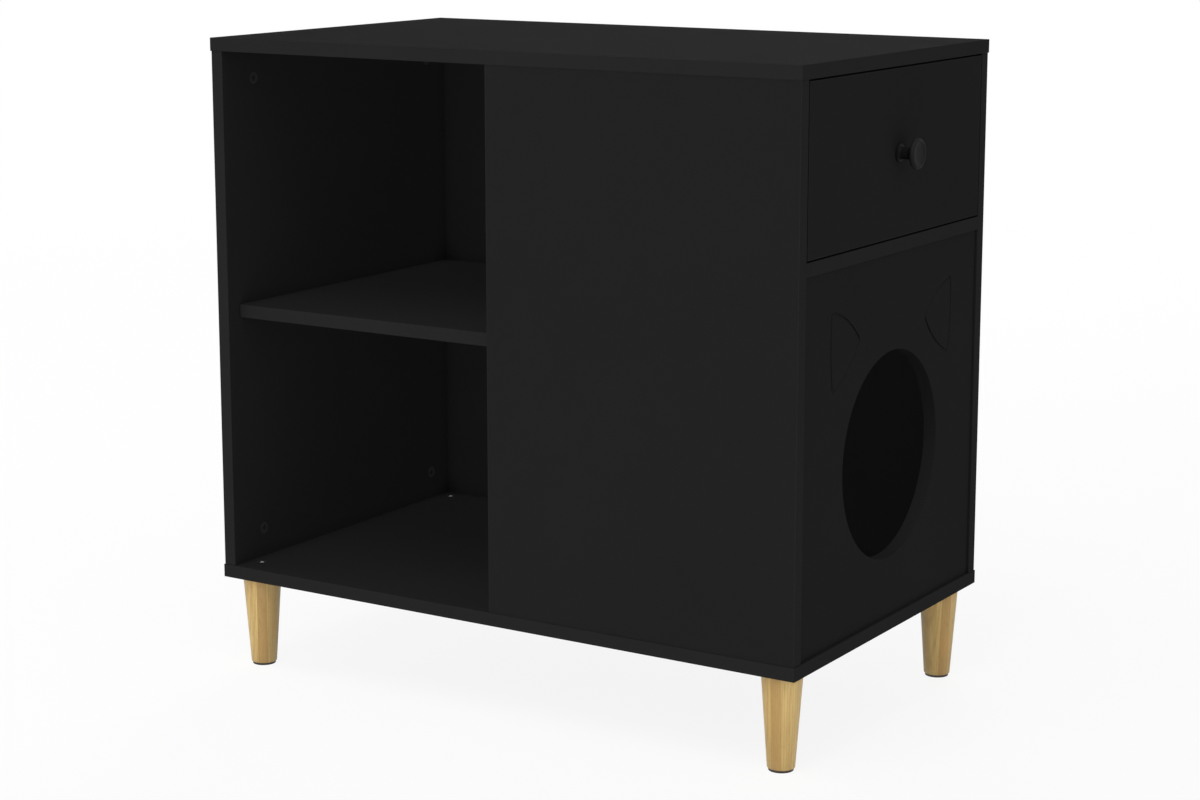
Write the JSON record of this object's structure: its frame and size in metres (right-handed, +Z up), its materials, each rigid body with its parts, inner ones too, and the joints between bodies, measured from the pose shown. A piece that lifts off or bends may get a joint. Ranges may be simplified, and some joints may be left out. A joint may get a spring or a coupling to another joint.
{
  "type": "cat house",
  "caption": "Cat house cabinet on tapered legs: open bay with a shelf beside a cat room with a round entrance in its end, under a drawer on roller runners.",
  "frame": {"origin": "middle of the whole part's footprint, knob included, on the floor", "axes": "+X along the width, towards the end with the drawer and the cat entrance; +Y from the open front to the back; +Z up"},
  "size_m": [0.783, 0.448, 0.7415],
  "materials": {
    "black_board": "black melamine on particle board, smooth matt",
    "black_knob": "satin black",
    "black_hardboard": "black printed hardboard",
    "leg_wood": "pale solid wood, satin lacquer",
    "dowel_wood": "bare beech",
    "zinc": "bright zinc plate",
    "runner_steel": "white powder coat",
    "roller_plastic": "white nylon",
    "dark_zinc": "black zinc plate",
    "glide_plastic": "dark plastic"
  },
  "bodies": {
    "cabinet": {"top_panel": "black_board", "bottom_panel": "black_board", "left_side_panel": "black_board", "front_panel": "black_board", "back_panel": "black_board", "partition_panel": "black_board", "bay_shelf": "black_board", "cross_divider": "black_board", "entrance_panel": "black_board", "shelf_pins": "zinc", "fixed_runner_front": "runner_steel", "fixed_runner_rear": "runner_steel", "fixed_axles": "zinc", "fixed_runner_screws": "zinc", "leg_front_left": "leg_wood", "leg_front_right": "leg_wood", "leg_back_left": "leg_wood", "leg_back_right": "leg_wood", "glide_front_left": "glide_plastic", "glide_front_right": "glide_plastic", "glide_back_left": "glide_plastic", "glide_back_right": "glide_plastic", "leg_bolts": "zinc", "leg_inserts": "dark_zinc", "cam_locks": "dark_zinc", "cam_bolts": "zinc", "wooden_dowels": "dowel_wood"},
    "drawer": {"drawer_front": "black_board", "drawer_side_front": "black_board", "drawer_side_rear": "black_board", "drawer_back": "black_board", "drawer_bottom": "black_hardboard", "drawer_knob": "black_knob", "knob_screw": "zinc", "moving_runner_front": "runner_steel", "moving_runner_rear": "runner_steel", "moving_axles": "zinc", "moving_runner_screws": "zinc", "drawer_cam_locks": "dark_zinc", "drawer_cam_bolts": "zinc", "drawer_dowels": "dowel_wood", "drawer_back_screws": "zinc", "drawer_bottom_screws": "zinc"},
    "fixed_roller_front": {"fixed_roller_front": "roller_plastic"},
    "fixed_roller_rear": {"fixed_roller_rear": "roller_plastic"},
    "moving_roller_front": {"moving_roller_front": "roller_plastic"},
    "moving_roller_rear": {"moving_roller_rear": "roller_plastic"}
  },
  "joints": [
    {"name": "drawer_slide", "type": "slide", "parent": "cabinet", "child": "drawer", "axis": [1, 0, 0], "range_m": [0, 0.23]},
    {"name": "fixed_roller_front_spin", "type": "hinge", "parent": "cabinet", "child": "fixed_roller_front", "pos_m": [0.3375, -0.20175, 0.56715], "axis": [0, 1, 0], "range_deg": [0, 1215]},
    {"name": "fixed_roller_rear_spin", "type": "hinge", "parent": "cabinet", "child": "fixed_roller_rear", "pos_m": [0.3375, 0.20175, 0.56715], "axis": [0, 1, 0], "range_deg": [0, 1215]},
    {"name": "moving_roller_front_spin", "type": "hinge", "parent": "drawer", "child": "moving_roller_front", "pos_m": [0.0665, -0.20175, 0.5659], "axis": [0, 1, 0], "range_deg": [0, 1373]},
    {"name": "moving_roller_rear_spin", "type": "hinge", "parent": "drawer", "child": "moving_roller_rear", "pos_m": [0.0665, 0.20175, 0.5659], "axis": [0, 1, 0], "range_deg": [0, 1373]}
  ],
  "couplings": [
    {"joint": "fixed_roller_front_spin", "follows": "drawer_slide", "rad_per_m": 92.166},
    {"joint": "fixed_roller_rear_spin", "follows": "drawer_slide", "rad_per_m": 92.166},
    {"joint": "moving_roller_front_spin", "follows": "drawer_slide", "rad_per_m": 104.17},
    {"joint": "moving_roller_rear_spin", "follows": "drawer_slide", "rad_per_m": 104.17}
  ]
}
